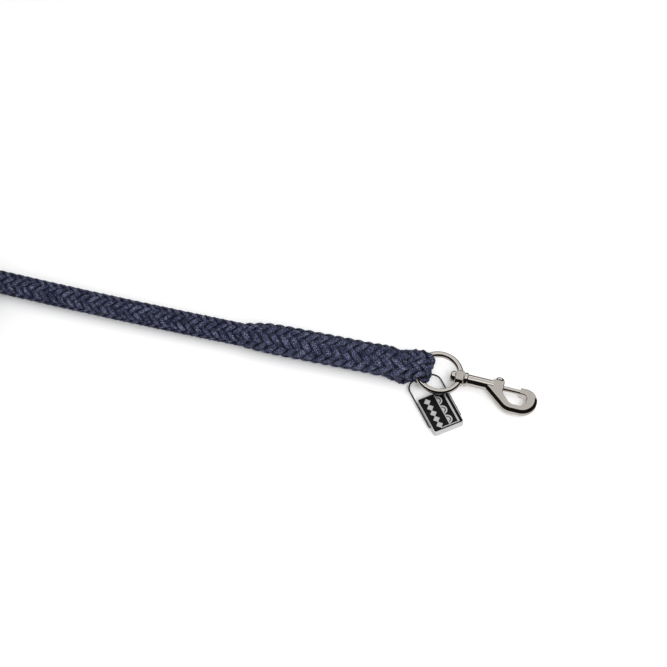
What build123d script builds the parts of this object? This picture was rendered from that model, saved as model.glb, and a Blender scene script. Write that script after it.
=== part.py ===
from build123d import *
import math
import os

# A braided lead rope with a swivel bolt snap. Millimetres, +Z up, lying on the floor z = 0.
# +X points from the rope towards the snap. The origin is under the middle of the hardware
# and its spliced eye, the free rope left out.

# ---------------------------------------------------------------- driving dimensions
ROPE_D = 20.0               # hollow braided rope
SPLICE_D = 26.0             # where the rope's tail lies inside the braid
TAIL_D = 14.0               # the tail, squeezed inside the splice
TURN_GAP = 0.4              # between rope turns that lie on each other

EYE_X, EYE_Y, EYE_Z = 23.86, 16.23, 12.0    # centre of the ring's wire inside the rope's eye
HARDWARE_TILT = 4.6         # ring and snap slope down from the eye to the floor, degrees

RING_MEAN_R = 17.5
RING_WIRE_R = 2.5
RING_SWING = 60.0           # degrees, up from rest
BOSS_IN, BOSS_OUT = 31.2, 37.6              # the ring's swivel boss, from the eye along the hardware
BOSS_W, BOSS_H = 12.4, 8.6

SHANK_R = 2.2               # swivel pin
SHANK_FIT = 0.05            # running clearance in the boss
PIN_HEAD_R = 4.7
PIN_HEAD_T = 4.2
PIN_END = 43.5

COLLAR_X, COLLAR_L, COLLAR_R = 37.9, 3.4, 5.6
BARREL_R = 4.6
BARREL_FRONT = 71.0         # front face of the barrel
BORE_R = 2.1
HOOK_T = 8.0                # thickness of the hook's plate
HOOK_BEVEL, HOOK_SOFTEN = 2.4, 0.8         # the outer edge
HOOK_EDGE_R = 1.2           # round the opening
HOOK_TIP = 100.0            # furthest point of the hook
NOSE_X, NOSE_HALF = 84.8, 3.4
SEAT_DEPTH = 2.2            # how far the nose is bored for the bolt's end

BOLT_R = 2.0
BOLT_BACK, BOLT_END = 61.5, 86.2
BOLT_TRAVEL = 13.0
KNOB_X = 66.9
KNOB_POST_R, KNOB_HEAD_R = 1.15, 3.8
SLOT_HALF = 1.3
SPRING_R, SPRING_WIRE_R, SPRING_COILS = 1.55, 0.22, 9

SPLICE_LONG = 147.5         # from the eye back to where the rope thickens
SPLICE_TAPER = 15.0
EYE_BACK = 25.0             # the eye's leg length behind the ring's wire
EYE_HALF_W, EYE_HALF_H, EYE_FRONT = 13.2, 12.0, 12.2

TAG_TURN = -52.5            # heading of the tag, degrees from +X
TAG_BOW = (-14.1, -3.3)     # middle of the bail's bow, from the ring's centre
TAG_L, TAG_W, TAG_T = 33.8, 26.0, 6.6
TAG_START = 19.2            # from the bow to the tag
TAG_RIM = 0.5
TAG_CORNER_R = 2.0
TAG_RECESS = 1.0
INLAY_T = 0.7
RELIEF_T = 0.25
BAIL_HALF_W, BAIL_WIRE_R, BAIL_CORNER_R = 13.9, 0.65, 8.5
BAIL_END = 45.0
BAIL_DEPTH = 2.4            # how far the bail's ends go into the tag's sides

HANK_X, HANK_Y = EYE_X - 398.5, EYE_Y - 33.6    # centre of the hank's nearer end loop
HANK_SPAN = 200.0           # between the centres of its two end loops
LOOP_R = 40.0               # centreline of an end loop
PINCH_HALF = 10.2           # half the distance between the two runs under the tie
TIE_W, TIE_T = 20.0, 1.6
END_L, END_R = 28.0, 10.8   # the whipping on the rope's end

FLOOR_Z = ROPE_D / 2
LAYER = ROPE_D + TURN_GAP

# The free rope, from the splice to the hank. Its last point lies inside the hank.
ROUTE = [
    (EYE_X + x, EYE_Y + y, FLOOR_Z)
    for x, y in [
        (-147.5, 0.0),
        (-187.5, 0.4),
        (-250.0, 1.5),
        (-306.0, 3.1),
        (-354.0, 5.0),
        (-396.0, 6.1),
    ]
]

# ---------------------------------------------------------------- frames
EYE = Pos(EYE_X, EYE_Y, EYE_Z)
HARDWARE = EYE * Rot(0, HARDWARE_TILT, 0)   # x runs along the snap from the ring's wire
TAG_Z = TAG_T / 2
TAG = (
    Pos(EYE_X + RING_MEAN_R + TAG_BOW[0], EYE_Y + TAG_BOW[1], TAG_Z)
    * Rot(0, 0, TAG_TURN)
)                                           # x runs from the bail's bow to the tag's far end


def rod(radius, start, end):
    """A cylinder along x between two stations."""
    return Pos((start + end) / 2, 0, 0) * Rot(0, 90, 0) * Cylinder(radius, end - start)


def slab(points, radii, thickness):
    """A plate about the plane z = 0 from a closed outline, with each corner rounded."""
    corners = Polyline(*points, close=True)
    face = make_face(corners)
    for (x, y), radius in zip(points, radii):
        if radius:
            corner = face.vertices().sort_by_distance((x, y, 0))[0]
            face = fillet(corner, radius)
    return extrude(face, thickness / 2, both=True)


# ---------------------------------------------------------------- ring and swivel
def ring_wire(radius):
    return Pos(RING_MEAN_R, 0, 0) * Torus(RING_MEAN_R, radius)


def make_ring():
    middle = (BOSS_IN + BOSS_OUT) / 2
    boss = Pos(middle, 0, 0) * Box(BOSS_OUT - BOSS_IN, BOSS_W, BOSS_H)
    boss = chamfer(boss.edges().filter_by(Axis.X), 2.2)
    boss = fillet(boss.edges().filter_by(Plane.YZ), 0.8)
    ring = ring_wire(RING_WIRE_R) + boss
    return ring - rod(SHANK_R + SHANK_FIT, BOSS_IN - 4, BOSS_OUT + 4)


def make_swivel_pin():
    head_start = BOSS_IN - 0.25 - PIN_HEAD_T
    head = rod(PIN_HEAD_R, head_start, head_start + PIN_HEAD_T)
    head = fillet(head.edges().sort_by(Axis.X)[0], 2.4)
    head = chamfer(head.edges().sort_by(Axis.X)[-1], 0.5)
    return head + rod(SHANK_R, head_start + PIN_HEAD_T - 0.5, PIN_END)


# ---------------------------------------------------------------- snap
def hook_plate():
    """The flat hook: down from the barrel's side, round the bottom and back to the nose."""
    outline = [
        (56.0, -4.0),
        (75.2, -20.5),
        (HOOK_TIP, -20.5),
        (HOOK_TIP, NOSE_HALF + 0.3),
        (NOSE_X, NOSE_HALF),
        (NOSE_X, -NOSE_HALF),
        (91.2, -NOSE_HALF),
        (91.2, -14.2),
        (78.6, -14.2),
        (BARREL_FRONT, -6.0),
        (BARREL_FRONT, 4.2),
        (62.0, 4.2),
    ]
    plate = slab(outline, [0, 12.0, 13.0, 10.4, 0, 0, 3.4, 5.6, 7.5, 4.0, 0, 0], HOOK_T)
    plate = chamfer(face_edges(plate, HOOK_T / 2, inside=False), HOOK_BEVEL)
    for height in (HOOK_T / 2, HOOK_T / 2 - HOOK_BEVEL):
        plate = fillet(face_edges(plate, height, inside=False), HOOK_SOFTEN)
    return fillet(face_edges(plate, HOOK_T / 2, inside=True), HOOK_EDGE_R)


def face_edges(plate, height, inside):
    """The hook's edges at a height above and below its middle plane: round the opening, or
    round the outside from the barrel to the nose."""
    found = []
    for edge in plate.edges():
        x, y, z = edge.center()
        level = abs(abs(z) - height) < 0.01
        opening = BARREL_FRONT - 0.1 < x < 91.3 and -14.3 < y < -NOSE_HALF + 0.1
        opening = opening or (abs(x - BARREL_FRONT) < 0.1 and y < 4.1)
        shared = y > -NOSE_HALF and x < NOSE_X + 0.1
        if level and (opening if inside else not opening and not shared):
            found.append(edge)
    return found


def make_snap_body():
    collar = rod(COLLAR_R, COLLAR_X, COLLAR_X + COLLAR_L)
    collar = fillet(collar.edges(), 1.1)
    body = collar + rod(BARREL_R, COLLAR_X + 1.0, 62.5) + hook_plate()
    body -= rod(SHANK_R, COLLAR_X - 1, PIN_END)
    body -= rod(BORE_R, PIN_END, BARREL_FRONT + 1)
    body -= rod(BORE_R, NOSE_X - 1, NOSE_X + SEAT_DEPTH)
    slot_back = KNOB_X - BOLT_TRAVEL
    slot_length = KNOB_X - slot_back
    slot = Box(slot_length, 8, 2 * SLOT_HALF)
    for x in (-slot_length / 2, slot_length / 2):
        slot += Pos(x, 0, 0) * Rot(90, 0, 0) * Cylinder(SLOT_HALF, 8)
    return body - Pos((slot_back + KNOB_X) / 2, 4, 0) * slot


def make_bolt():
    bolt = rod(BOLT_R, BOLT_BACK, BOLT_END)
    bolt = chamfer(bolt.edges().sort_by(Axis.X)[-1], 0.5)
    return bolt - Pos(KNOB_X, 2, 0) * Rot(90, 0, 0) * Cylinder(KNOB_POST_R, 3)


def make_thumb_knob():
    """A domed head on a post that is pressed into the bolt through the barrel's slot."""
    underside, top = BARREL_R + 0.45, BARREL_R + 3.7
    post = Pos(0, 0.5, 0) * Rot(-90, 0, 0) * Cylinder(
        KNOB_POST_R, underside, align=(Align.CENTER, Align.CENTER, Align.MIN)
    )
    head = Cylinder(KNOB_HEAD_R, top - underside, align=(Align.CENTER, Align.CENTER, Align.MIN))
    head = fillet(head.edges().sort_by(Axis.Z)[-1], 2.2)
    head = chamfer(head.edges().sort_by(Axis.Z)[0], 0.3)
    return Pos(KNOB_X, 0, 0) * (post + Pos(0, underside, 0) * Rot(-90, 0, 0) * head)


def make_bolt_spring():
    start, end = PIN_END + 0.3, BOLT_BACK - 0.3
    turns = Helix((end - start) / SPRING_COILS, end - start, SPRING_R)
    section = Plane(origin=turns @ 0, z_dir=turns % 0) * Circle(SPRING_WIRE_R)
    return Pos(start, 0, 0) * Rot(0, 90, 0) * sweep(section, path=turns)


# ---------------------------------------------------------------- tag
def bail_path():
    legs = FilletPolyline(
        (BAIL_END, TAG_W / 2 - BAIL_DEPTH),
        (BAIL_END, BAIL_HALF_W),
        (0, BAIL_HALF_W),
        (0, -BAIL_HALF_W),
        (BAIL_END, -BAIL_HALF_W),
        (BAIL_END, -TAG_W / 2 + BAIL_DEPTH),
        radius=[0.85, BAIL_CORNER_R, BAIL_CORNER_R, 0.85],
    )
    return legs


def bail_wire(radius):
    path = bail_path()
    section = Plane(origin=path @ 0, z_dir=path % 0) * Circle(radius)
    return sweep(section, path=path)


def tag_pocket(depth):
    return Box(TAG_L - 2 * TAG_RIM, TAG_W - 2 * TAG_RIM, depth)


def make_tag_frame():
    """A cast plate with a shallow tray on both faces and a hole in each side for the bail."""
    frame = Box(TAG_L, TAG_W, TAG_T)
    frame = fillet(frame.edges().filter_by(Axis.Z), TAG_CORNER_R)
    frame = fillet(frame.edges().filter_by(Plane.XY), 0.3)
    for side in (1, -1):
        tray = fillet(tag_pocket(2 * TAG_RECESS).edges().filter_by(Axis.Z), TAG_CORNER_R - TAG_RIM)
        frame -= Pos(0, 0, side * TAG_T / 2) * tray
    frame = Pos(TAG_START + TAG_L / 2, 0, 0) * frame
    for side in (1, -1):
        hole = Pos(BAIL_END, side * TAG_W / 2, 0) * Rot(90, 0, 0)
        frame -= hole * Cylinder(BAIL_WIRE_R, 2 * BAIL_DEPTH)
    return frame


def make_tag_inlay(side):
    inlay = Box(TAG_L - 2 * TAG_RIM, TAG_W - 2 * TAG_RIM, INLAY_T)
    inlay = fillet(inlay.edges().filter_by(Axis.Z), TAG_CORNER_R - TAG_RIM)
    height = side * (TAG_T / 2 - TAG_RECESS + INLAY_T / 2)
    return Pos(TAG_START + TAG_L / 2, 0, height) * inlay


def make_tag_relief():
    """Plain ornament on the tag's face: a row of lozenges and a row of fans."""
    height = TAG_T / 2 - TAG_RECESS + INLAY_T + RELIEF_T / 2
    middle = TAG_START + TAG_L / 2
    relief = Pos(middle, 9.4) * Box(30.2, 1.5, RELIEF_T)
    relief += Pos(middle, 1.6) * Box(30.2, 0.7, RELIEF_T)
    relief += Pos(middle + 14.75, 1.9) * Box(0.7, 16.5, RELIEF_T)
    for i in range(5):
        lozenge = make_face(Polyline((-3.0, 0), (0, -2.9), (3.0, 0), (0, 2.9), close=True))
        place = Pos(middle + (i - 2) * 5.8, -6.2)
        relief += place * extrude(lozenge, RELIEF_T / 2, both=True)
    for i in range(3):
        fan = Cylinder(4.2, RELIEF_T) - Cylinder(3.0, RELIEF_T) + Cylinder(2.2, RELIEF_T)
        fan &= Pos(0, 2.5) * Box(20, 5, RELIEF_T)
        relief += Pos(middle + (i - 1) * 9.5, 1.6) * fan
    return Pos(0, 0, height) * relief


# ---------------------------------------------------------------- spliced eye
def make_rope_eye():
    """The rope's turn round the ring: a flattened loop with a tapering hole for the wire."""
    side = make_face(
        Polyline((-EYE_BACK, -EYE_HALF_H), (0, -EYE_HALF_H))
        + EllipticalCenterArc((0, 0), EYE_FRONT, EYE_HALF_H, start_angle=-90, arc_size=180)
        + Polyline((0, EYE_HALF_H), (-EYE_BACK, EYE_HALF_H + 1.6), (-EYE_BACK, -EYE_HALF_H))
    )
    eye = Rot(90, 0, 0) * extrude(side, EYE_HALF_W, both=True)
    plan = make_face(
        Polyline((-EYE_BACK, EYE_HALF_W), (-EYE_BACK, -EYE_HALF_W), (1.0, -EYE_HALF_W))
        + ThreePointArc((1.0, -EYE_HALF_W), (8.6, -8.4), (EYE_FRONT + 0.5, 0))
        + ThreePointArc((EYE_FRONT + 0.5, 0), (8.6, 8.4), (1.0, EYE_HALF_W))
        + Line((1.0, EYE_HALF_W), (-EYE_BACK, EYE_HALF_W))
    )
    eye &= extrude(plan, 20, both=True)
    eye &= Pos(-EYE_BACK, 0, 0) * Rot(0, 90, 0) * fillet(
        Box(2 * EYE_HALF_H + 4, 2 * EYE_HALF_W, 4 * EYE_BACK).edges().filter_by(Axis.Z), 5.0
    )
    hole = make_face(
        Polyline((0, -3.2), (-14.5, -0.4), (-14.5, 0.4), (0, 3.2))
        + ThreePointArc((0, 3.2), (3.2, 0), (0, -3.2))
    )
    eye -= Rot(90, 0, 0) * extrude(hole, 20, both=True)
    ring_room = [
        EYE * Rot(0, HARDWARE_TILT - angle, 0) * ring_wire(RING_WIRE_R + 0.4)
        for angle in range(0, int(RING_SWING) + 13, 9)
    ]
    bow = Rot(90, 0, 0) * Cylinder(1.1, 12)
    notch = Box(22, 11.3, 12, align=(Align.MIN, Align.CENTER, Align.MAX))
    bail_room = [TAG * bow] + [TAG * Pos(-1.1, side * 9.35, 1.1) * notch for side in (1, -1)]
    eye = EYE * eye
    for room in ring_room + bail_room:
        eye = (eye - room).solids().sort_by(SortBy.VOLUME)[-1]
    return eye


def splice_solid(radius, back_radius):
    """A tapering rod from the eye's legs back along the rope, lying on the floor."""
    front, shoulder = -EYE_BACK, -SPLICE_LONG + SPLICE_TAPER
    full = rod(radius, shoulder, front)
    wide = Plane(origin=(shoulder, 0, 0), z_dir=(-1, 0, 0)) * Circle(radius)
    drop = back_radius - radius
    narrow = Plane(origin=(-SPLICE_LONG, 0, drop), z_dir=(-1, 0, 0)) * Circle(back_radius)
    return full + loft([wide, narrow])


def make_splice_cover():
    place = Pos(EYE_X, EYE_Y, SPLICE_D / 2)
    cover = place * splice_solid(SPLICE_D / 2, ROPE_D / 2)
    return cover - make_buried_tail()


def make_buried_tail():
    place = Pos(EYE_X, EYE_Y, SPLICE_D / 2)
    tail = rod(TAIL_D / 2, -SPLICE_LONG + SPLICE_TAPER + 4, -EYE_BACK)
    return place * chamfer(tail.edges().sort_by(Axis.X)[0], 3.0)


# ---------------------------------------------------------------- free rope
def bend_radii(points):
    """The largest arc that fits each corner of the route."""
    radii = []
    for a, b, c in zip(points, points[1:], points[2:]):
        before, after = Vector(*b) - Vector(*a), Vector(*c) - Vector(*b)
        turn = math.radians(before.get_angle(after))
        radii.append(0.45 * min(before.length, after.length) / math.tan(turn / 2))
    return radii


def make_rope_tube():
    radii = bend_radii(ROUTE)
    print("rope bend radii, mm:", [round(r) for r in radii])
    path = FilletPolyline(*ROUTE, radius=radii)
    section = Plane(origin=path @ 0, z_dir=path % 0) * Circle(ROPE_D / 2)
    tube = sweep(section, path=path)
    share = tube.volume / (math.pi * ROPE_D**2 / 4 * path.length)
    print(f"rope tube: {path.length:.1f} mm, volume / (section x length) = {share:.4f}")
    return tube


def hank_outline(outside):
    """Plan of the hank: two round end loops, pinched together in the middle by the tie."""
    far, middle = -HANK_SPAN, -HANK_SPAN / 2
    loop, waist = LOOP_R + outside, PINCH_HALF + outside
    level = (1, 0)
    near_side = Spline((0, loop), (middle, waist), (far, loop), tangents=[(-1, 0), (-1, 0)])
    far_side = Spline((far, -loop), (middle, -waist), (0, -loop), tangents=[level, level])
    return make_face(
        near_side
        + ThreePointArc((far, loop), (far - loop, 0), (far, -loop))
        + far_side
        + ThreePointArc((0, -loop), (loop, 0), (0, loop))
    )


def tie_section():
    """Outline of the rope passes under the tie: two columns of two and one on top."""
    level_one = FLOOR_Z + TIE_T
    level_two = level_one + LAYER
    passes = [
        (-PINCH_HALF, level_one),
        (PINCH_HALF, level_one),
        (-PINCH_HALF, level_two),
        (PINCH_HALF, level_two),
        (0, level_two + 17.7),
    ]
    circles = [Pos(y, z) * Circle(ROPE_D / 2) for y, z in passes]
    return make_hull([edge for circle in circles for edge in circle.edges()])


def across_hank(face, length):
    """A section drawn in y and z, extruded along x about the middle of the hank."""
    middle = Pos(HANK_X - HANK_SPAN / 2, HANK_Y, 0)
    return middle * (Plane.YZ * extrude(face, length / 2, both=True))


def rope_end_place():
    return Pos(HANK_X - HANK_SPAN / 2 - 56, HANK_Y, FLOOR_Z + LAYER + 13.5) * Rot(0, -5, 0)


def make_rope_end():
    """The whipped and sealed end, on top of the hank."""
    sleeve = Rot(0, 90, 0) * Cylinder(END_R, END_L)
    return rope_end_place() * fillet(sleeve.edges(), 2.0)


def make_rope_hank():
    outline = Pos(HANK_X, HANK_Y, 0) * hank_outline(ROPE_D / 2)
    two_layers = extrude(outline, 2 * LAYER)
    loop = Pos(HANK_X, HANK_Y, 0) * Cylinder(
        LOOP_R + ROPE_D / 2, 3 * LAYER, align=(Align.CENTER, Align.CENTER, Align.MIN)
    )
    last_pass = Pos(HANK_X, HANK_Y, 2 * LAYER) * Box(
        HANK_SPAN / 2 + 42, ROPE_D, ROPE_D - 1,
        align=(Align.MAX, Align.CENTER, Align.MIN),
    )
    hank = two_layers + loop + last_pass
    hank -= across_hank(Rectangle(200, 200), TIE_W) - across_hank(tie_section(), TIE_W)
    sleeve = Rot(0, 90, 0) * Cylinder(END_R, END_L)
    return hank - rope_end_place() * sleeve


def make_hank_tie():
    inside = tie_section()
    band = offset(inside, TIE_T, kind=Kind.ARC) - inside
    return across_hank(band, TIE_W)


# ---------------------------------------------------------------- all nodes
def build():
    hank = make_rope_hank()
    return {
        "splice_cover": make_splice_cover(),
        "buried_tail": make_buried_tail(),
        "rope_eye": make_rope_eye(),
        "rope_run": make_rope_tube() - hank,
        "rope_hank": hank,
        "hank_tie": make_hank_tie(),
        "rope_end": make_rope_end(),
        "ring": HARDWARE * make_ring(),
        "swivel_pin": HARDWARE * make_swivel_pin(),
        "snap_body": HARDWARE * make_snap_body(),
        "bolt": HARDWARE * make_bolt(),
        "thumb_knob": HARDWARE * make_thumb_knob(),
        "bolt_spring": HARDWARE * make_bolt_spring(),
        "tag_bail": TAG * bail_wire(BAIL_WIRE_R),
        "tag_frame": TAG * make_tag_frame(),
        "tag_inlay_front": TAG * make_tag_inlay(1),
        "tag_inlay_back": TAG * make_tag_inlay(-1),
        "tag_relief": TAG * make_tag_relief(),
    }


CORD_NODES = ("rope_run", "rope_hank", "hank_tie", "rope_end")

os.makedirs("parts", exist_ok=True)
nodes = build()
for name, shape in nodes.items():
    shape.label = name
    export_step(shape, f"parts/{name}.step")
own = Compound(children=[s for n, s in nodes.items() if n not in CORD_NODES]).bounding_box()
print("own box, mm:", own.min, own.max)
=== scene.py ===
import math
import random

import bmesh
import bpy
import numpy as np
from mathutils import Matrix, Vector


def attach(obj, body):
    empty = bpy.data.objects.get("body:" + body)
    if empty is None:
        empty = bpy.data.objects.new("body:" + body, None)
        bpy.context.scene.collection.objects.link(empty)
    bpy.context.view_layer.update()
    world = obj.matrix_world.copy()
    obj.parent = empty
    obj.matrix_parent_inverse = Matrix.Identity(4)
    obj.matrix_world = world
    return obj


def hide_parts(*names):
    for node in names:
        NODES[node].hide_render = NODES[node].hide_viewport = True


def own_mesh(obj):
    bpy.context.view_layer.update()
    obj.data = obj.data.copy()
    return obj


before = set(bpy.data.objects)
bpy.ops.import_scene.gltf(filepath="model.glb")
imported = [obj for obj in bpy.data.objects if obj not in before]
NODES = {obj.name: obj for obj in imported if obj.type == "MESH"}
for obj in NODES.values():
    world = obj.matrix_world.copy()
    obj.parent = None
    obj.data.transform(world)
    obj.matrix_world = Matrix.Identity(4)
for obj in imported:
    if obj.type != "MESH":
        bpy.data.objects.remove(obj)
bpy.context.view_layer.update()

MM = 0.001

# ---------------------------------------------------------------- places, in metres
EYE = Vector((23.86, 16.23, 12.0)) * MM      # centre of the ring's wire inside the eye
RING_CENTRE = Vector((41.28, 16.23, 10.6)) * MM
ROPE_R = 10.0 * MM
LAYER = 20.4 * MM                            # between rope turns that lie on each other
TIE_LIFT = 1.6 * MM                          # the tie's thickness under the lowest turn
HANK = Vector((EYE.x - 0.3985, EYE.y - 0.0336, 0.0))
HANK_SPAN = 0.200                            # between the centres of the hank's end loops
LOOP_R = 0.0405
PINCH = 0.0102                               # half the distance between the runs at the tie
STEP = 1.9 * MM                              # between samples along a strand


# ---------------------------------------------------------------- camera
def make_camera(back, target, view_width, distance):
    """A camera along back from the target, that sees view_width across it."""
    data = bpy.data.cameras.new("camera")
    data.sensor_width = 36.0
    data.lens = 36.0 * distance / view_width
    data.clip_start, data.clip_end = 0.01, 50.0
    camera = bpy.data.objects.new("camera", data)
    camera.location = target + back * distance
    camera.rotation_mode = "QUATERNION"
    camera.rotation_quaternion = (-back).to_track_quat("-Z", "Y")
    bpy.context.scene.collection.objects.link(camera)
    bpy.context.scene.camera = camera


azimuth, elevation = math.radians(13.0), math.radians(58.0)
right = Vector((math.cos(azimuth), math.sin(azimuth), 0))
back = Vector((math.sin(azimuth) * math.cos(elevation), -math.cos(azimuth) * math.cos(elevation),
               math.sin(elevation)))
up = Vector((-math.sin(azimuth) * math.sin(elevation), math.cos(azimuth) * math.sin(elevation),
             math.cos(elevation)))
make_camera(back, RING_CENTRE - right * 0.0855 + up * 0.032, view_width=0.540, distance=2.6)


# ---------------------------------------------------------------- node helpers
def link(obj):
    bpy.context.scene.collection.objects.link(obj)
    return obj


def finish_node(name, material):
    """Gives a CAD piece its material."""
    materials = NODES[name].data.materials
    materials.clear()
    materials.append(material)


class Shader:
    """A material with a Principled shader, and short calls to wire nodes."""

    def __init__(self, name, **values):
        self.mat = bpy.data.materials.new(name)
        self.mat.use_nodes = True
        self.tree = self.mat.node_tree
        self.bsdf = next(n for n in self.tree.nodes if n.type == "BSDF_PRINCIPLED")
        for socket, value in values.items():
            self.bsdf.inputs[socket.replace("_", " ")].default_value = value

    def node(self, kind, inputs=None, **settings):
        made = self.tree.nodes.new(kind)
        for key, value in settings.items():
            setattr(made, key, value)
        for key, value in (inputs or {}).items():
            if isinstance(value, bpy.types.NodeSocket):
                self.tree.links.new(value, made.inputs[key])
            else:
                made.inputs[key].default_value = value
        return made

    def math(self, operation, a, b):
        return self.node("ShaderNodeMath", {0: a, 1: b}, operation=operation).outputs[0]

    def ramp(self, factor, stops):
        made = self.node("ShaderNodeValToRGB", {0: factor})
        elements = made.color_ramp.elements
        while len(elements) < len(stops):
            elements.new(0.5)
        for element, (place, colour) in zip(elements, stops):
            element.position = place
            element.color = colour if hasattr(colour, "__len__") else (colour,) * 3 + (1,)
        return made.outputs[0]

    def to(self, socket, value):
        self.tree.links.new(value, self.bsdf.inputs[socket])

    def bump(self, height, strength, distance, normal=None):
        made = self.node(
            "ShaderNodeBump", {"Strength": strength, "Distance": distance, "Height": height}
        )
        if normal is not None:
            self.tree.links.new(normal, made.inputs["Normal"])
        return made.outputs[0]


def rgb(r, g, b):
    """Linear colour from an sRGB one, 0 to 255."""
    def linear(v):
        v /= 255
        return v / 12.92 if v <= 0.04045 else ((v + 0.055) / 1.055) ** 2.4
    return (linear(r), linear(g), linear(b), 1.0)


# ---------------------------------------------------------------- materials
def rope_material(name, dark, mid, light, pale):
    """Heathered yarn: twisted filament strands with lighter flecks, and painted shade between and
    under strands.
    """
    m = Shader(name, Roughness=0.82, Specular_IOR_Level=0.12, Sheen_Weight=0.06,
               Sheen_Roughness=0.5, Sheen_Tint=(0.62, 0.66, 0.85, 1.0))
    uv = m.node("ShaderNodeUVMap", uv_map="strand").outputs[0]
    yarn = m.node("ShaderNodeMapping",
                  {0: uv, "Scale": (1.0, 1.7, 1.0), "Rotation": (0, 0, 0.45)})
    fleck = m.node("ShaderNodeTexNoise",
                   {"Vector": yarn.outputs[0], "Scale": 1.0, "Detail": 3.0, "Roughness": 0.7})
    broad = m.node("ShaderNodeTexNoise", {"Vector": uv, "Scale": 0.16, "Detail": 2.0})
    mixed = m.math("ADD", m.math("MULTIPLY", fleck.outputs[0], 0.78),
                   m.math("MULTIPLY", broad.outputs[0], 0.22))
    colour = m.ramp(mixed, [(0.40, dark), (0.48, mid), (0.545, light), (0.62, pale)])
    # painted shade: the base colour darkens where a strand's surface sits low, in the gaps
    # between strands and where it passes under another
    painted_gap_shade = m.node("ShaderNodeAttribute", attribute_name="painted_gap_shade").outputs[2]
    shade = m.ramp(painted_gap_shade, [(0.0, 0.01), (0.45, 0.15), (0.85, 1.0)])
    colour_with_painted_shade = m.node("ShaderNodeMix", {0: 1.0, 6: colour, 7: shade}, data_type="RGBA",
                    blend_type="MULTIPLY")
    m.to("Base Color", colour_with_painted_shade.outputs[2])
    fine = m.node("ShaderNodeMapping",
                  {0: uv, "Scale": (0.5, 5.0, 1.0), "Rotation": (0, 0, 0.32)})
    filaments = m.node("ShaderNodeTexNoise",
                       {"Vector": fine.outputs[0], "Scale": 1.0, "Detail": 2.0})
    m.to("Normal", m.bump(filaments.outputs[0], 0.9, 0.0006))
    return m.mat


def nickel_material(name, tone, roughness, metallic=1.0):
    """Polished nickel plate over a casting: faint waviness, fine scratches, a warm tone."""
    m = Shader(name, Metallic=metallic, Base_Color=tone, Specular_Tint=(0.5, 0.48, 0.46, 1))
    where = m.node("ShaderNodeTexCoord").outputs["Object"]
    wave = m.node("ShaderNodeTexNoise", {"Vector": where, "Scale": 120.0, "Detail": 1.0})
    smudge = m.node("ShaderNodeTexNoise", {"Vector": where, "Scale": 260.0, "Detail": 4.0})
    stretch = m.node("ShaderNodeMapping", {0: where, "Scale": (300.0, 2600.0, 2600.0)})
    scratch = m.node("ShaderNodeTexNoise",
                     {"Vector": stretch.outputs[0], "Scale": 1.0, "Detail": 2.0})
    rough = m.math("ADD", m.math("MULTIPLY", smudge.outputs[0], 0.10), roughness)
    m.to("Roughness", rough)
    first = m.bump(wave.outputs[0], 0.12, 0.0012)
    m.to("Normal", m.bump(scratch.outputs[0], 0.05, 0.0001, first))
    return m.mat


def plain_material(name, colour, roughness, metallic=0.0, specular=0.5):
    """One colour with a fine grain."""
    m = Shader(name, Base_Color=colour, Metallic=metallic, Specular_IOR_Level=specular)
    where = m.node("ShaderNodeTexCoord").outputs["Object"]
    noise = m.node("ShaderNodeTexNoise", {"Vector": where, "Scale": 900.0, "Detail": 3.0})
    m.to("Roughness", m.math("ADD", m.math("MULTIPLY", noise.outputs[0], 0.16), roughness - 0.08))
    m.to("Normal", m.bump(noise.outputs[0], 0.15, 0.0002))
    return m.mat


ROPE_LOOK = rope_material("rope_braid", rgb(8, 10, 26), rgb(31, 34, 58), rgb(68, 72, 100),
                          rgb(145, 149, 171))
NICKEL = nickel_material("nickel", (0.60, 0.56, 0.52, 1), 0.05)
TAG_METAL = nickel_material("tag_metal", (0.56, 0.56, 0.56, 1), 0.3, 0.5)
RELIEF_METAL = nickel_material("tag_relief", (0.50, 0.50, 0.50, 1), 0.3, 0.7)
TAG_BLACK = plain_material("tag_black", rgb(8, 8, 10), 0.6, specular=0.15)
DARK_WIRE = plain_material("dark_wire", (0.07, 0.068, 0.07, 1), 0.25, metallic=1.0)
STEEL = plain_material("spring_steel", (0.45, 0.45, 0.46, 1), 0.3, metallic=1.0)


def tie_material():
    """Dark woven webbing."""
    m = Shader("tie_webbing", Roughness=0.85, Sheen_Weight=0.2)
    uv = m.node("ShaderNodeUVMap", uv_map="strand").outputs[0]
    ribs = m.node("ShaderNodeTexWave", {"Vector": uv, "Scale": 0.9, "Distortion": 0.4})
    fuzz = m.node("ShaderNodeTexNoise", {"Vector": uv, "Scale": 1.6, "Detail": 4.0})
    both = m.math("ADD", m.math("MULTIPLY", ribs.outputs[1], 0.6),
                  m.math("MULTIPLY", fuzz.outputs[0], 0.4))
    m.to("Base Color", m.ramp(both, [(0.3, rgb(18, 19, 30)), (0.7, rgb(44, 46, 62))]))
    m.to("Normal", m.bump(both, 0.8, 0.0006))
    return m.mat


TIE_LOOK = tie_material()


# ---------------------------------------------------------------- braid
def sides_along(points):
    """Two normals along a line, carried on without twist. The first starts upwards."""
    tangent = np.gradient(points, axis=0)
    tangent /= np.linalg.norm(tangent, axis=1)[:, None]
    normal = np.zeros_like(points)
    n = np.array((0.0, 0.0, 1.0))
    for i, t in enumerate(tangent):
        n = n - t * n.dot(t)
        n /= np.linalg.norm(n)
        normal[i] = n
    return normal, np.cross(tangent, normal)


def resample(points, step):
    """Places evenly spread along a line, and their distances from its start."""
    points = np.asarray(points, float)
    along = np.concatenate([[0], np.cumsum(np.linalg.norm(np.diff(points, axis=0), axis=1))])
    count = max(4, int(round(along[-1] / step)) + 1)
    at = np.linspace(0, along[-1], count)
    return at, np.stack([np.interp(at, along, points[:, k]) for k in range(3)], axis=1)


ROUND = 128                 # points round a braid's section


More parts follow.
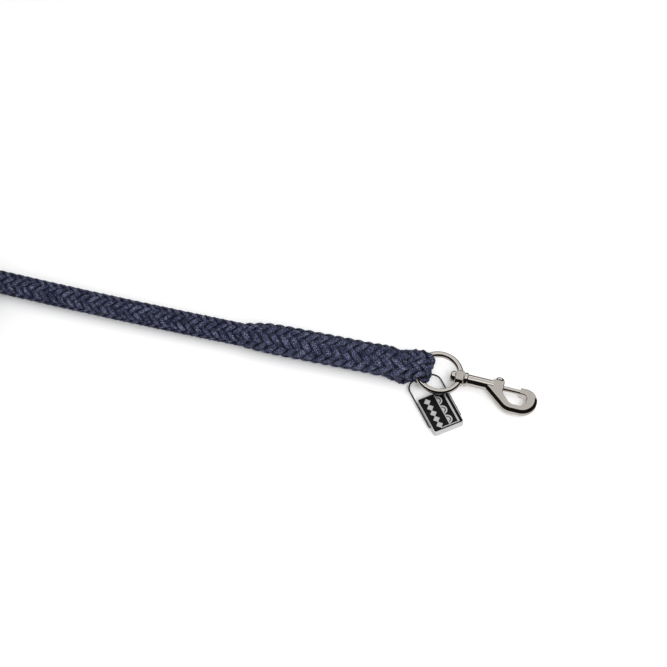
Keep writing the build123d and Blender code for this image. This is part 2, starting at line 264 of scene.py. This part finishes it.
def outline(half_w, half_t, power):
    """A rounded section as points evenly spread round its edge, first point on +width."""
    a = np.linspace(0, 2 * np.pi, 161)
    c, s = np.cos(a), np.sin(a)
    x = half_w * np.sign(c) * np.abs(c) ** power
    y = half_t * np.sign(s) * np.abs(s) ** power
    length = np.concatenate([[0], np.cumsum(np.hypot(np.diff(x), np.diff(y)))])
    at = np.linspace(0, length[-1], ROUND + 1)
    return np.interp(at, length, x), np.interp(at, length, y)


STRAND_T = 2.7 * MM         # thickness of a strand
WAVE = 1.2 * MM             # how far it moves out and in as it goes over and under
CARRIERS = 8                # strands in each sense
STRAND_SECTION = [(-0.5, -0.22), (-0.34, 0.26), (0.0, 0.5), (0.34, 0.26), (0.5, -0.22),
                  (0.0, -0.5)]
STRAND_SHADE_CROWN = [0.1, 0.75, 1.0, 0.75, 0.1, 0.0]        # how far each of its points stands out; used only as the mask for painted shade between strands


def braid(name, points, half_w, half_t, lead, power=(1.0, 1.0), seed=1, step=STEP,
          width_scale=1.0):
    """A hollow 2/2 braid round a line. half_w and half_t are the outer half sizes along it,
    across and up, and power is the section's squareness. lead is the length in which a
    strand goes once round."""
    at, p = resample(points, step)
    up, across = sides_along(p)
    count = len(at)

    def spread(values):
        return np.interp(at / at[-1], np.linspace(0, 1, len(values)), values)

    half_w, half_t, power = spread(half_w), spread(half_t), spread(power)
    inset = WAVE + STRAND_T / 2
    rings = [outline(w - inset, t - inset, k) for w, t, k in zip(half_w, half_t, power)]
    ring_x = np.array([r[0] for r in rings])
    ring_y = np.array([r[1] for r in rings])
    around = np.hypot(np.diff(ring_x, axis=1), np.diff(ring_y, axis=1)).sum(axis=1)
    phase = 2 * np.pi * at / lead
    rng = random.Random(seed)
    n = len(STRAND_SECTION)
    verts, faces, uvs, painted_gap_shade = [], [], [], []
    rows = np.arange(count)
    for turn in (1, -1):
        for k in range(CARRIERS):
            theta = 2 * np.pi * k / CARRIERS + turn * phase
            crossing = 2 * k + turn * phase * CARRIERS / np.pi
            wave = np.cos(np.pi / 2 * (crossing - 0.5)) * turn
            wave = np.clip(wave * 1.25, -1, 1)
            place = (theta / (2 * np.pi)) % 1.0 * ROUND
            low = np.floor(place).astype(int) % ROUND
            part = place - np.floor(place)
            x = ring_x[rows, low] * (1 - part) + ring_x[rows, low + 1] * part
            y = ring_y[rows, low] * (1 - part) + ring_y[rows, low + 1] * part
            dx = ring_x[rows, low + 1] - ring_x[rows, low]
            dy = ring_y[rows, low + 1] - ring_y[rows, low]
            size = np.hypot(dx, dy)
            nx, ny = dy / size, -dx / size
            out = up * ny[:, None] + across * nx[:, None]
            centre = p + across * x[:, None] + up * y[:, None] + out * (WAVE * wave)[:, None]
            run = np.gradient(centre, axis=0)
            run /= np.linalg.norm(run, axis=1)[:, None]
            side = np.cross(out, run)
            side /= np.linalg.norm(side, axis=1)[:, None]
            top = np.cross(run, side)
            spacing = around / CARRIERS * np.cos(np.arctan2(around, lead))
            width = spacing * 1.06 * width_scale * (1 + 0.05 * rng.uniform(-1, 1))
            steps = np.linalg.norm(np.diff(centre, axis=0), axis=1)
            along = np.concatenate([[0], np.cumsum(steps)])
            base = sum(len(b) for b in verts)
            block = np.stack([
                centre + side * (width * a)[:, None] + top * (STRAND_T * b)
                for a, b in STRAND_SECTION
            ], axis=1).reshape(-1, 3)
            verts.append(block)
            offset = rng.uniform(0, 400)
            for i in range(count - 1):
                for j in range(n):
                    q = (j + 1) % n
                    faces.append((base + i * n + j, base + i * n + q,
                                  base + (i + 1) * n + q, base + (i + 1) * n + j))
            faces.append(tuple(base + j for j in range(n))[::-1])
            faces.append(tuple(base + (count - 1) * n + j for j in range(n)))
            across_mm = np.array([a for a, b in STRAND_SECTION])[None, :] * width[:, None] * 1000
            uv_block = np.stack([
                np.repeat(along[:, None] * 1000, n, axis=1) + offset,
                across_mm + 10 * k + (100 if turn < 0 else 0),
            ], axis=2).reshape(-1, 2)
            uvs.append(uv_block)
            # painted shade mask: each point's stand-out height, lower where the strand passes
            # under another
            over = 0.5 + 0.5 * wave
            shown = np.array(STRAND_SHADE_CROWN)[None, :] * (0.45 + 0.55 * over)[:, None]
            painted_gap_shade.append(shown.reshape(-1))
    mesh = bpy.data.meshes.new(name)
    mesh.from_pydata(np.concatenate(verts).tolist(), [], faces)
    layer = mesh.uv_layers.new(name="strand")
    index = np.zeros(len(mesh.loops), int)
    mesh.loops.foreach_get("vertex_index", index)
    layer.data.foreach_set("uv", np.concatenate(uvs)[index].astype(np.float32).ravel())
    attribute = mesh.attributes.new("painted_gap_shade", "FLOAT", "POINT")
    attribute.data.foreach_set("value", np.concatenate(painted_gap_shade).astype(np.float32))
    mesh.polygons.foreach_set("use_smooth", [True] * len(mesh.polygons))
    mesh.materials.append(ROPE_LOOK)
    mesh.validate()
    made = link(bpy.data.objects.new(name, mesh))
    print(name, "faces", len(mesh.polygons), "length", round(at[-1], 4))
    return made, p


# ---------------------------------------------------------------- the rope's line
def route_points():
    """The free rope's control points: the run on the floor, then the hank's turns."""
    run = [(-147.5, 0.0), (-187.5, 0.4), (-250.0, 1.5), (-306.0, 3.1), (-354.0, 5.0)]
    points = [Vector((EYE.x + x * MM, EYE.y + y * MM, ROPE_R)) for x, y in run]
    far = HANK.x - HANK_SPAN

    def half(t):
        return PINCH + (LOOP_R - PINCH) * (1 + math.cos(2 * math.pi * t)) / 2

    def lift(t):
        return TIE_LIFT * math.sin(math.pi * t) ** 2

    def straight(t, side, z):
        points.append(Vector((HANK.x - HANK_SPAN * t, HANK.y + side, z)))

    def loop(x, degrees, z):
        a = math.radians(degrees)
        points.append(Vector((x + LOOP_R * math.cos(a), HANK.y + LOOP_R * math.sin(a), z)))

    passes = [0.0, 0.14, 0.28, 0.40, 0.5, 0.60, 0.72, 0.86, 1.0]
    turns = (30, 60, 90, 120, 150)
    for level in (0, 1):
        z = ROPE_R + LAYER * level
        for t in passes:
            straight(t, half(t), z + lift(t))
        for turn in turns:
            loop(far, 90 + turn, z)
        for t in reversed(passes):
            straight(t, -half(t), z + lift(t))
        for turn in turns:
            climb = min(1.0, turn / 120)
            loop(HANK.x, -90 + turn, z + LAYER * (3 * climb**2 - 2 * climb**3))
    top, over_tie = ROPE_R + 2 * LAYER, 49.7 * MM
    for t in (0.0, 0.12, 0.24, 0.34, 0.43):
        side = LOOP_R * (1 + math.cos(2 * math.pi * t)) / 2
        straight(t, side, top + (over_tie - top) * (t / 0.5))
    for x, z in ((0, 49.7), (-22, 48.2), (-46, 45.2), (-69, 42.8)):
        points.append(Vector((HANK.x - HANK_SPAN / 2 + x * MM, HANK.y, z * MM)))
    return points


def nurbs(name, points, resolution=8):
    """Points along a smooth spline that has these control points."""
    curve = bpy.data.curves.new(name, "CURVE")
    curve.dimensions = "3D"
    spline = curve.splines.new("NURBS")
    spline.points.add(len(points) - 1)
    for point, place in zip(spline.points, points):
        point.co = (*place, 1.0)
    spline.order_u = 3
    spline.use_endpoint_u = True
    spline.resolution_u = resolution
    holder = link(bpy.data.objects.new(name, curve))
    mesh = bpy.data.meshes.new_from_object(holder)
    line = np.array([v.co for v in mesh.vertices])
    bpy.data.objects.remove(holder)
    bpy.data.meshes.remove(mesh)
    return line


rope_line = nurbs("rope_line", route_points())
rope, rope_path = braid("rope_braid", rope_line, [ROPE_R] * 2, [ROPE_R] * 2, lead=58 * MM, seed=3)
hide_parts("rope_run", "rope_hank")
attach(rope, "rope")


# ---------------------------------------------------------------- splice and eye
def stations(rows):
    """Control points and outer sizes from rows of x, y, z, half width, half height and
    squareness, in millimetres from the point under the eye's centre."""
    line = [Vector((EYE.x + x * MM, EYE.y + y * MM, z * MM)) for x, y, z, *_ in rows]
    marks = np.concatenate([[0], np.cumsum([(b - a).length for a, b in zip(line, line[1:])])])
    even = np.linspace(0, 1, 240)
    sizes = [np.interp(even, marks / marks[-1], [row[i] for row in rows]) for i in (3, 4, 5)]
    return line, sizes[0] * MM, sizes[1] * MM, sizes[2]


def slant(obj, start, full, slope):
    """Leans a piece's end over: x falls with y, fully so beyond x = full."""
    for v in obj.data.vertices:
        share = min(1.0, max(0.0, (v.co.x - EYE.x - start) / (full - start)))
        v.co.x -= slope * (v.co.y - EYE.y) * share * share * (3 - 2 * share)


def rest_on_floor(obj, height):
    """Squeezes the part of a piece below a height, so that its lowest point is at z = 0."""
    low = min(v.co.z for v in obj.data.vertices)
    for v in obj.data.vertices:
        if v.co.z < height:
            v.co.z = height * (v.co.z - low) / (height - low)


# The splice's braid over the buried tail, from the free rope to the eye.
COVER = [(-147.5, 0, 10.0, 10.0, 10.0, 1), (-142, 0, 10.5, 10.5, 10.5, 1),
         (-136, 0, 11.4, 11.4, 11.4, 1), (-130, 0, 12.2, 12.2, 12.2, 1),
         (-122, 0, 12.7, 12.7, 12.7, 1)]
COVER += [(x, 0, 12.9, 12.9, 12.9, 1) for x in (-108, -92, -76, -62, -50, -40)]
COVER += [(-31, 0, 13.0, 13.1, 12.8, 0.95), (-24, 0, 13.2, 13.1, 12.4, 0.9),
          (-18, 0, 13.4, 12.9, 11.6, 0.9), (-13, 0, 13.4, 12.2, 10.2, 0.9),
          (-9.5, 0, 13.2, 10.6, 7.8, 0.9), (-7.5, 0, 13.0, 8.6, 5.0, 0.9)]
line, half_w, half_t, power = stations(COVER)
cover, _ = braid("splice_braid", nurbs("splice_line", line, 10), half_w, half_t, lead=66 * MM,
                 power=power, seed=5, step=1.7 * MM, width_scale=1.06)
slant(cover, -40 * MM, -9 * MM, 0.62)
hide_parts("splice_cover")

# The flattened turn round the ring: over the top, round the front and back underneath.
STRAP = [(-26, 2.5, 14.5, 9.0, 4.0, 0.8), (-19, 1.5, 15.5, 11.0, 4.2, 0.75),
         (-12, 0.6, 16.6, 12.6, 4.4, 0.7), (-6, 0.2, 18.2, 13.6, 4.4, 0.65)]
STRAP += [(8.3 * math.cos(math.radians(a)), shift, 12 + 7.3 * math.sin(math.radians(a)), half,
           4.3, 0.62)
          for a, shift, half in ((85, 0, 14), (62, 0, 14), (38, 0, 14), (14, 0, 14),
                                 (-10, 0.2, 13.8), (-35, 0.9, 13), (-60, 1.8, 12),
                                 (-85, 2.4, 11.2))]
STRAP += [(-6, 1.6, 5.9, 11.6, 4.4, 0.65), (-12, -0.8, 5.6, 13.0, 4.6, 0.7),
          (-18, -0.5, 5.8, 12.4, 4.4, 0.75), (-24, 1.5, 7.0, 9.5, 3.8, 0.8)]
line, half_w, half_t, power = stations(STRAP)
strap, _ = braid("eye_braid", nurbs("eye_line", line, 10), half_w, half_t, lead=56 * MM,
                 power=power, seed=8, step=1.6 * MM, width_scale=1.06)
slant(strap, -4 * MM, 8 * MM, -0.12)
rest_on_floor(strap, 3 * MM)
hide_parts("rope_eye")
for piece in (cover, strap):
    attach(piece, "rope")
finish_node("buried_tail", ROPE_LOOK)


# ---------------------------------------------------------------- tie and whipped end
def ribbon(name, loop, width, thickness, material):
    """A flat band that follows a closed loop of points in y and z, with its width along x."""
    n = len(loop)
    bevel = 0.3 * MM
    bm = bmesh.new()
    uv = bm.loops.layers.uv.new("strand")
    rows, marks = [], []
    along = 0.0
    for i, (y, z) in enumerate(loop):
        before, after = loop[i - 1], loop[(i + 1) % n]
        d = Vector((after[0] - before[0], after[1] - before[1])).normalized()
        out = Vector((d.y, -d.x))
        marks.append(along)
        along += math.dist((y, z), after)
        profile = ((-width / 2, 0), (-width / 2 + bevel, thickness),
                   (width / 2 - bevel, thickness), (width / 2, 0))
        rows.append([bm.verts.new((x, y + out.x * depth, z + out.y * depth))
                     for x, depth in profile])
    for i in range(n):
        a, b = rows[i], rows[(i + 1) % n]
        for j in range(4):
            q = (j + 1) % 4
            face = bm.faces.new((a[j], b[j], b[q], a[q]))
            face.smooth = True
            here, onward = marks[i], marks[i] + 0.001
            corners = ((here, j), (onward, j), (onward, q), (here, q))
            for face_loop, (mark, x) in zip(face.loops, corners):
                face_loop[uv].uv = (mark * 1000, x * 6)
    bmesh.ops.recalc_face_normals(bm, faces=bm.faces)
    mesh = bpy.data.meshes.new(name)
    bm.to_mesh(mesh)
    bm.free()
    mesh.materials.append(material)
    return link(bpy.data.objects.new(name, mesh))


def hull_loop(circles, steps):
    """The tight loop round some circles, as points in order, counter-clockwise."""
    cloud = []
    for y, z, r in circles:
        for i in range(steps):
            a = 2 * math.pi * i / steps
            cloud.append((y + r * math.cos(a), z + r * math.sin(a)))
    cloud = sorted(set((round(y, 7), round(z, 7)) for y, z in cloud))

    def half(points):
        out = []
        for p in points:
            while len(out) > 1 and ((out[-1][0] - out[-2][0]) * (p[1] - out[-2][1])
                                    - (out[-1][1] - out[-2][1]) * (p[0] - out[-2][0])) <= 0:
                out.pop()
            out.append(p)
        return out
    lower, upper = half(cloud), half(cloud[::-1])
    return lower[:-1] + upper[:-1]


level_one = ROPE_R + TIE_LIFT
bundle = [(side * PINCH, level_one + layer * LAYER, ROPE_R)
          for side in (-1, 1) for layer in (0, 1)]
bundle.append((0, level_one + LAYER + 17.7 * MM, ROPE_R))
tie = ribbon("hank_tie_band", hull_loop(bundle, 36), 20 * MM, 1.5 * MM, TIE_LOOK)
tie.location = (HANK.x - HANK_SPAN / 2, HANK.y, 0)
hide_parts("hank_tie")
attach(tie, "rope")

END_CENTRE = Vector((HANK.x - HANK_SPAN / 2 - 56 * MM, HANK.y, 43.9 * MM))


def whipping():
    """Turns of cord wound tight round the rope's end, and the sealed end itself."""
    turns, cord, radius, length = 15, 0.85 * MM, 10.0 * MM, 26 * MM
    steps, sides, spokes = 28, 6, 32       # points in a turn, round the cord, round the disc
    bm = bmesh.new()
    uv = bm.loops.layers.uv.new("strand")
    rows = []
    for i in range(turns * steps + 1):
        a = 2 * math.pi * i / steps
        x = -length / 2 + length * i / (turns * steps)
        ring = []
        for j in range(sides):
            b = 2 * math.pi * j / sides
            r = radius + cord * math.cos(b)
            ring.append(bm.verts.new((x + cord * math.sin(b), r * math.cos(a), r * math.sin(a))))
        rows.append(ring)
    for i in range(len(rows) - 1):
        for j in range(sides):
            q = (j + 1) % sides
            face = bm.faces.new((rows[i][j], rows[i][q], rows[i + 1][q], rows[i + 1][j]))
            face.smooth = True
            for face_loop, mark in zip(face.loops, (i, i, i + 1, i + 1)):
                face_loop[uv].uv = (mark * 2.2, j * 0.9)
    bm.faces.new(rows[0][::-1])
    bm.faces.new(rows[-1])
    end = -length / 2
    core = ((end - 1.0 * MM, 0.0), (end - 0.9 * MM, 5 * MM), (end - 0.5 * MM, 8.4 * MM),
            (end, 9.6 * MM), (-end, 9.6 * MM), (-end, 0.0))
    previous = None
    for x, r in core:
        angles = [2 * math.pi * i / spokes for i in range(spokes)] if r else [0.0]
        ring = [bm.verts.new((x, r * math.cos(a), r * math.sin(a))) for a in angles]
        if previous is not None:
            for i in range(spokes):
                a, b = previous[i % len(previous)], previous[(i + 1) % len(previous)]
                c, d = ring[(i + 1) % len(ring)], ring[i % len(ring)]
                bm.faces.new(list(dict.fromkeys((a, b, c, d)))).smooth = True
        previous = ring
    bmesh.ops.recalc_face_normals(bm, faces=bm.faces)
    mesh = bpy.data.meshes.new("rope_end_whipping")
    bm.to_mesh(mesh)
    bm.free()
    mesh.materials.append(TIE_LOOK)
    made = link(bpy.data.objects.new("rope_end_whipping", mesh))
    made.matrix_world = Matrix.Translation(END_CENTRE) @ Matrix.Rotation(math.radians(-5), 4, "Y")
    return made


end = whipping()
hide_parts("rope_end")
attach(end, "rope")


# ---------------------------------------------------------------- metal
for name in ("ring", "swivel_pin", "snap_body", "bolt", "thumb_knob"):
    finish_node(name, NICKEL)
finish_node("tag_frame", TAG_METAL)
finish_node("tag_relief", RELIEF_METAL)
finish_node("tag_inlay_front", TAG_BLACK)
finish_node("tag_inlay_back", TAG_BLACK)
finish_node("tag_bail", DARK_WIRE)
finish_node("bolt_spring", STEEL)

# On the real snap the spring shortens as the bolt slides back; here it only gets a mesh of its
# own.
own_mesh(NODES["bolt_spring"])


# ---------------------------------------------------------------- floor, sky and lights
floor_mesh = bpy.data.meshes.new("floor")
floor_mesh.from_pydata([(-6, -6, 0), (6, -6, 0), (6, 6, 0), (-6, 6, 0)], [], [(0, 1, 2, 3)])
floor = link(bpy.data.objects.new("floor", floor_mesh))
floor.location.z = -0.0002
floor_shader = Shader("floor", Base_Color=(0.93, 0.93, 0.93, 1), Roughness=0.9,
                      Specular_IOR_Level=0.1)
floor_mesh.materials.append(floor_shader.mat)
floor.visible_glossy = False        # a small white card stands in for it in the metal

card_mesh = bpy.data.meshes.new("card")
card_corners = [(-0.03, -0.05, 0), (0.14, -0.05, 0), (0.14, 0.05, 0), (-0.03, 0.05, 0)]
card_mesh.from_pydata(card_corners, [], [(0, 1, 2, 3)])
card = link(bpy.data.objects.new("card", card_mesh))
card.location.z = -0.0001
card_shader = Shader("card", Base_Color=(0, 0, 0, 1), Emission_Color=(1, 1, 1, 1),
                     Emission_Strength=0.9)
card_mesh.materials.append(card_shader.mat)
for kind in ("camera", "diffuse", "transmission", "volume_scatter", "shadow"):
    setattr(card, "visible_" + kind, False)

world = bpy.data.worlds.new("studio")
bpy.context.scene.world = world
world.use_nodes = True
tree = world.node_tree
background = tree.nodes["Background"]
where = tree.nodes.new("ShaderNodeTexCoord")
lean = tree.nodes.new("ShaderNodeVectorMath")
lean.operation = "DOT_PRODUCT"
lean.inputs[1].default_value = (-0.12, 0.50, 0.86)      # the sky is bright above and behind
ramp = tree.nodes.new("ShaderNodeValToRGB")
tree.links.new(where.outputs["Generated"], lean.inputs[0])
tree.links.new(lean.outputs["Value"], ramp.inputs[0])
tree.links.new(ramp.outputs[0], background.inputs["Color"])
stops = [(0.0, 0.01), (0.64, 0.015), (0.70, 0.45), (0.77, 1.5), (0.88, 1.35), (0.95, 0.76),
         (1.0, 0.74)]
while len(ramp.color_ramp.elements) < len(stops):
    ramp.color_ramp.elements.new(0.5)
for element, (place, value) in zip(ramp.color_ramp.elements, stops):
    element.position = place
    element.color = (value, value, value, 1)
background.inputs["Strength"].default_value = 1.0


def area(name, place, size, power):
    """A square lamp that points at the origin."""
    data = bpy.data.lights.new(name, "AREA")
    data.shape, data.size, data.energy = "SQUARE", size, power
    light = link(bpy.data.objects.new(name, data))
    light.location = place
    light.visible_glossy = False        # the metal mirrors the sky and the card alone
    light.rotation_mode = "QUATERNION"
    light.rotation_quaternion = (-Vector(place)).to_track_quat("-Z", "Y")


area("key", (0.7, -0.8, 1.6), 1.0, 20)
area("fill", (1.4, 0.2, 1.3), 1.0, 12)
area("front", (0.1, -1.5, 0.9), 1.6, 19)

scene = bpy.context.scene
scene.view_settings.view_transform = "Standard"
scene.view_settings.look = "None"
scene.view_settings.exposure = 0.0
